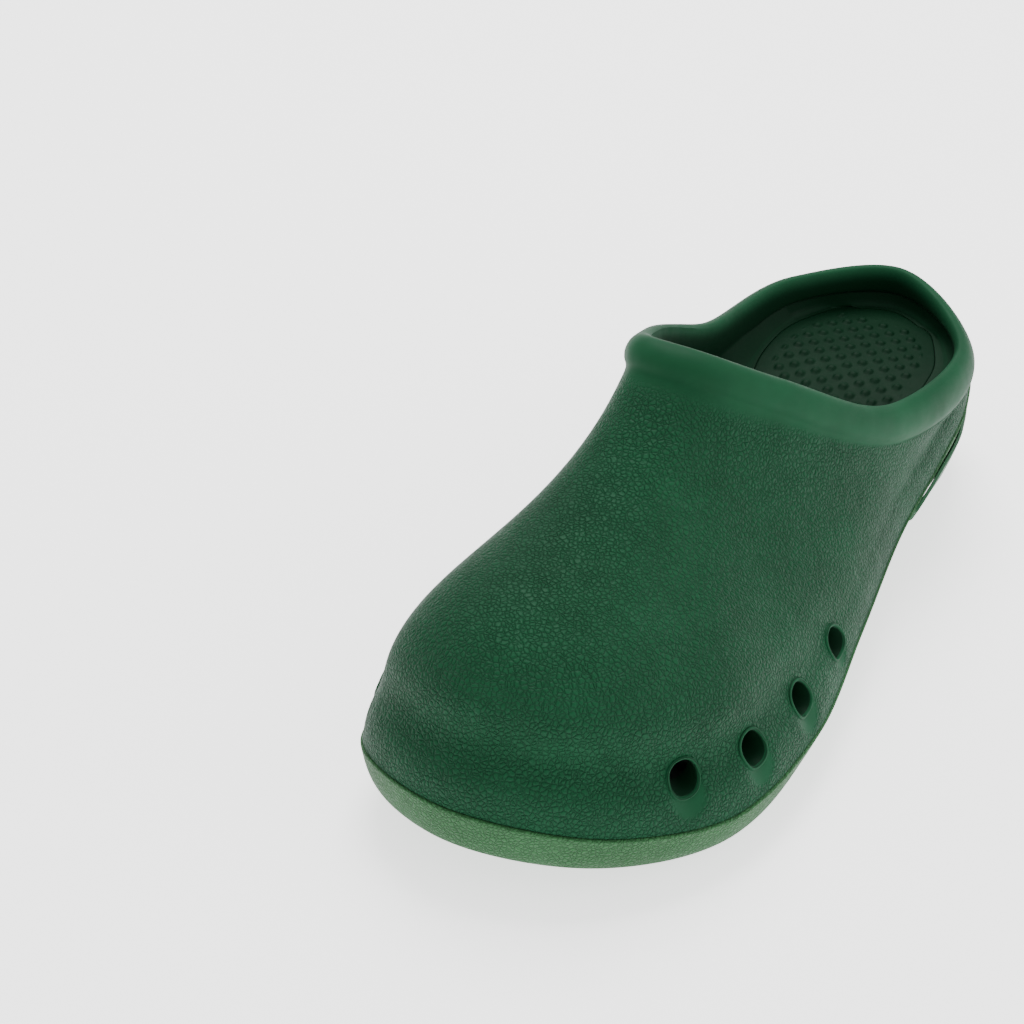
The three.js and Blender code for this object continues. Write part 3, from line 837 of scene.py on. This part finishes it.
def rubber(name, dark, light, rough, grain=0.0, cell=900.0, masked=False, inside=None, sheen=0.0,
           specular=0.14):
    """Moulded foam rubber: mottled colour, wrinkled grain with painted shade in its creases, dusty
    wear; painted shade on the inside where an inside colour is given.
    """
    material, tree, shader = new_material(name)
    link = tree.links.new
    where = node(tree, "ShaderNodeTexCoord").outputs["Object"]
    cloud = node(tree, "ShaderNodeTexNoise", Scale=28.0, Detail=4.0, Roughness=0.6)
    link(where, cloud.inputs["Vector"])
    fine = node(tree, "ShaderNodeTexNoise", Scale=2600.0, Detail=3.0, Roughness=0.65)
    link(where, fine.inputs["Vector"])
    bend = node(tree, "ShaderNodeTexNoise", Scale=cell * 0.6, Detail=2.0)
    link(where, bend.inputs["Vector"])
    warp = node(tree, "ShaderNodeVectorMath", operation="SCALE")
    link(bend.outputs["Color"], warp.inputs[0])
    warp.inputs["Scale"].default_value = 1.1 / cell
    moved = node(tree, "ShaderNodeVectorMath", operation="ADD")
    link(where, moved.inputs[0])
    link(warp.outputs[0], moved.inputs[1])
    crack = node(tree, "ShaderNodeTexVoronoi", feature="DISTANCE_TO_EDGE", Scale=cell)
    link(moved.outputs[0], crack.inputs["Vector"])
    plateau = ramp(
        tree, crack.outputs["Distance"], [(0.0, grey(0)), (0.09, grey(0.55)), (0.3, grey(1))])
    patches = node(tree, "ShaderNodeTexNoise", Scale=cell * 0.22, Detail=3.0, Roughness=0.55)
    link(where, patches.inputs["Vector"])
    uneven = math_node(tree, "MULTIPLY", plateau, math_node(tree, "ADD", patches.outputs["Fac"], 0.35))
    height = uneven
    amount = None
    if masked:
        plain = node(tree, "ShaderNodeAttribute", attribute_name="plain").outputs["Fac"]
        amount = math_node(tree, "SUBTRACT", 1.0, plain)
        height = math_node(tree, "MULTIPLY", uneven, amount)
    base = ramp(tree, cloud.outputs["Fac"], [(0.3, srgb(*dark)), (0.7, srgb(*light))])
    colour = base
    if grain:
        # painted shade: the grain's creases are darkened in the colour, by up to 42 percent
        shade = node(tree, "ShaderNodeMix", data_type="RGBA", blend_type="MULTIPLY")
        weight = math_node(tree, "SUBTRACT", 1.0, plateau)
        if amount is not None:
            weight = math_node(tree, "MULTIPLY", weight, amount)
        link(math_node(tree, "MULTIPLY", weight, 0.42), shade.inputs[0])
        link(base, shade.inputs[6])
        shade.inputs[7].default_value = grey(0.42)
        colour = shade.outputs[2]
    # painted shade: where the inside attribute is set, the colour turns to the dark inside colour
    if inside is not None:
        inside_shade_mix = node(tree, "ShaderNodeMix", data_type="RGBA")
        hidden = node(tree, "ShaderNodeAttribute", attribute_name="inside").outputs["Fac"]
        link(hidden, inside_shade_mix.inputs[0])
        link(colour, inside_shade_mix.inputs[6])
        inside_shade_mix.inputs[7].default_value = srgb(*inside)
        colour = inside_shade_mix.outputs[2]
    link(colour, shader.inputs["Base Color"])
    worn = math_node(tree, "MULTIPLY", math_node(tree, "SUBTRACT", patches.outputs["Fac"], 0.5), 0.22)
    gloss = math_node(tree, "ADD", worn, rough)
    if grain:
        gloss = math_node(tree, "ADD", gloss, math_node(tree, "MULTIPLY", height, -0.08))
    link(gloss, shader.inputs["Roughness"])
    micro = node(tree, "ShaderNodeBump", Strength=0.25, Distance=0.00006)
    link(fine.outputs["Fac"], micro.inputs["Height"])
    top = micro
    if grain:
        top = node(tree, "ShaderNodeBump", Strength=grain, Distance=0.0005)
        link(height, top.inputs["Height"])
        link(micro.outputs["Normal"], top.inputs["Normal"])
    link(top.outputs["Normal"], shader.inputs["Normal"])
    shader.inputs["Sheen Weight"].default_value = sheen
    shader.inputs["Sheen Roughness"].default_value = 0.45
    shader.inputs["Sheen Tint"].default_value = (0.75, 0.95, 0.82, 1.0)
    shader.inputs["Specular IOR Level"].default_value = specular
    shader.inputs["IOR"].default_value = 1.48
    return material


# ---------- assembly ----------

# The upper's inside colour (2, 36, 18) is painted shade for the inside of the shoe.
upper_material = rubber(
    "upper_rubber", (9, 58, 34), (14, 69, 42), 0.6, grain=0.85, cell=760.0, masked=True,
    inside=(2, 36, 18), sheen=0.01, specular=0.11)
# painted light: the sole's green is paler than the upper's, standing in for the light it catches from
# the pale floor
sole_material = rubber(
    "sole_rubber", (38, 82, 44), (48, 96, 56), 0.62, grain=0.8, cell=800.0, sheen=0.03)
# painted shade: the footbed's green is darkened to the same dark as the painted shade of the upper's
# inside
insole_material = rubber("insole_foam", (0, 30, 14), (2, 36, 18), 0.62, sheen=0.0, specular=0.09)
panel_material = rubber("panel_rubber", (22, 68, 41), (30, 80, 49), 0.48, sheen=0.02, specular=0.2)
tread_material = rubber(
    "tread_rubber", (16, 58, 32), (22, 68, 38), 0.65, grain=0.4, cell=900.0, sheen=0.03)


def place(obj, material, body, slot, *nodes):
    obj.data.materials.clear()
    obj.data.materials.append(material)
    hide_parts(*nodes)
    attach(obj, body)
    return obj


place(make_upper(), upper_material, "clog", "upper_rubber", "upper")
place(make_sole(), sole_material, "clog", "sole_rubber", "sole")
place(make_insole(), insole_material, "insole", "insole_foam", "insole")
place(make_panel("panel_lateral", True), panel_material, "clog", "panel_rubber", "heel_panel_lateral")
place(make_panel("panel_medial", False), panel_material, "clog", "panel_rubber", "heel_panel_medial")
for tread in ("tread_forefoot", "tread_heel"):
    cad_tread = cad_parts[tread]
    cad_tread.data.materials.clear()
    cad_tread.data.materials.append(tread_material)

# ---------- floor, light, camera ----------

FLOOR_HALF = 6.0
floor_mesh = bpy.data.meshes.new("studio_floor")
floor_mesh.from_pydata(
    [(-FLOOR_HALF, -FLOOR_HALF, 0), (FLOOR_HALF, -FLOOR_HALF, 0),
     (FLOOR_HALF, FLOOR_HALF, 0), (-FLOOR_HALF, FLOOR_HALF, 0)], [], [(0, 1, 2, 3)])
floor = bpy.data.objects.new("studio_floor", floor_mesh)
bpy.context.scene.collection.objects.link(floor)
floor_material, _, floor_shader = new_material("studio_paper")
floor_shader.inputs["Base Color"].default_value = grey(0.9)
floor_shader.inputs["Roughness"].default_value = 0.9
floor_shader.inputs["Emission Color"].default_value = grey(1.0)
floor_shader.inputs["Emission Strength"].default_value = 1.6
floor_mesh.materials.append(floor_material)
floor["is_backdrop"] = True

world = bpy.data.worlds.new("studio")
bpy.context.scene.world = world
world.use_nodes = True
world.node_tree.nodes["Background"].inputs["Color"].default_value = (1, 1, 1, 1)
world.node_tree.nodes["Background"].inputs["Strength"].default_value = 0.95


def area_light(name, location, target, size, power):
    light = bpy.data.lights.new(name, "AREA")
    light.shape, light.size, light.energy = "SQUARE", size, power
    obj = bpy.data.objects.new(name, light)
    obj.location = location
    obj.rotation_mode = "QUATERNION"
    obj.rotation_quaternion = (Vector(target) - Vector(location)).to_track_quat("-Z", "Y")
    bpy.context.scene.collection.objects.link(obj)


lo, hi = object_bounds()
middle = (lo + hi) / 2
area_light("key", (-0.35, 0.5, 1.4), middle, 0.8, 24)
area_light("back", (-0.6, 1.3, 0.9), middle, 1.6, 2.5)
area_light("side", (1.4, 0.4, 0.7), middle, 1.2, 9)

# Viewing angle: from above the toe, turned to the outer side. A long lens held close.
AZIMUTH = math.radians(31.82)
ELEVATION = math.radians(35.04)
DISTANCE = 0.601
AIM = Vector((-0.0578, -0.0324, 0.0378))
FOCAL_PIXELS = 1990
IMAGE_PIXELS = 1024
back = Vector((
    math.sin(AZIMUTH) * math.cos(ELEVATION),
    -math.cos(AZIMUTH) * math.cos(ELEVATION),
    math.sin(ELEVATION),
))
camera_data = bpy.data.cameras.new("camera")
camera_data.sensor_width = 36
camera_data.lens = 36 * FOCAL_PIXELS / IMAGE_PIXELS
camera_data.clip_start = 0.01
camera = bpy.data.objects.new("camera", camera_data)
camera.location = AIM + back * DISTANCE
camera.rotation_mode = "QUATERNION"
camera.rotation_quaternion = (-back).to_track_quat("-Z", "Y")
bpy.context.scene.collection.objects.link(camera)
bpy.context.scene.camera = camera

bpy.context.view_layer.update()
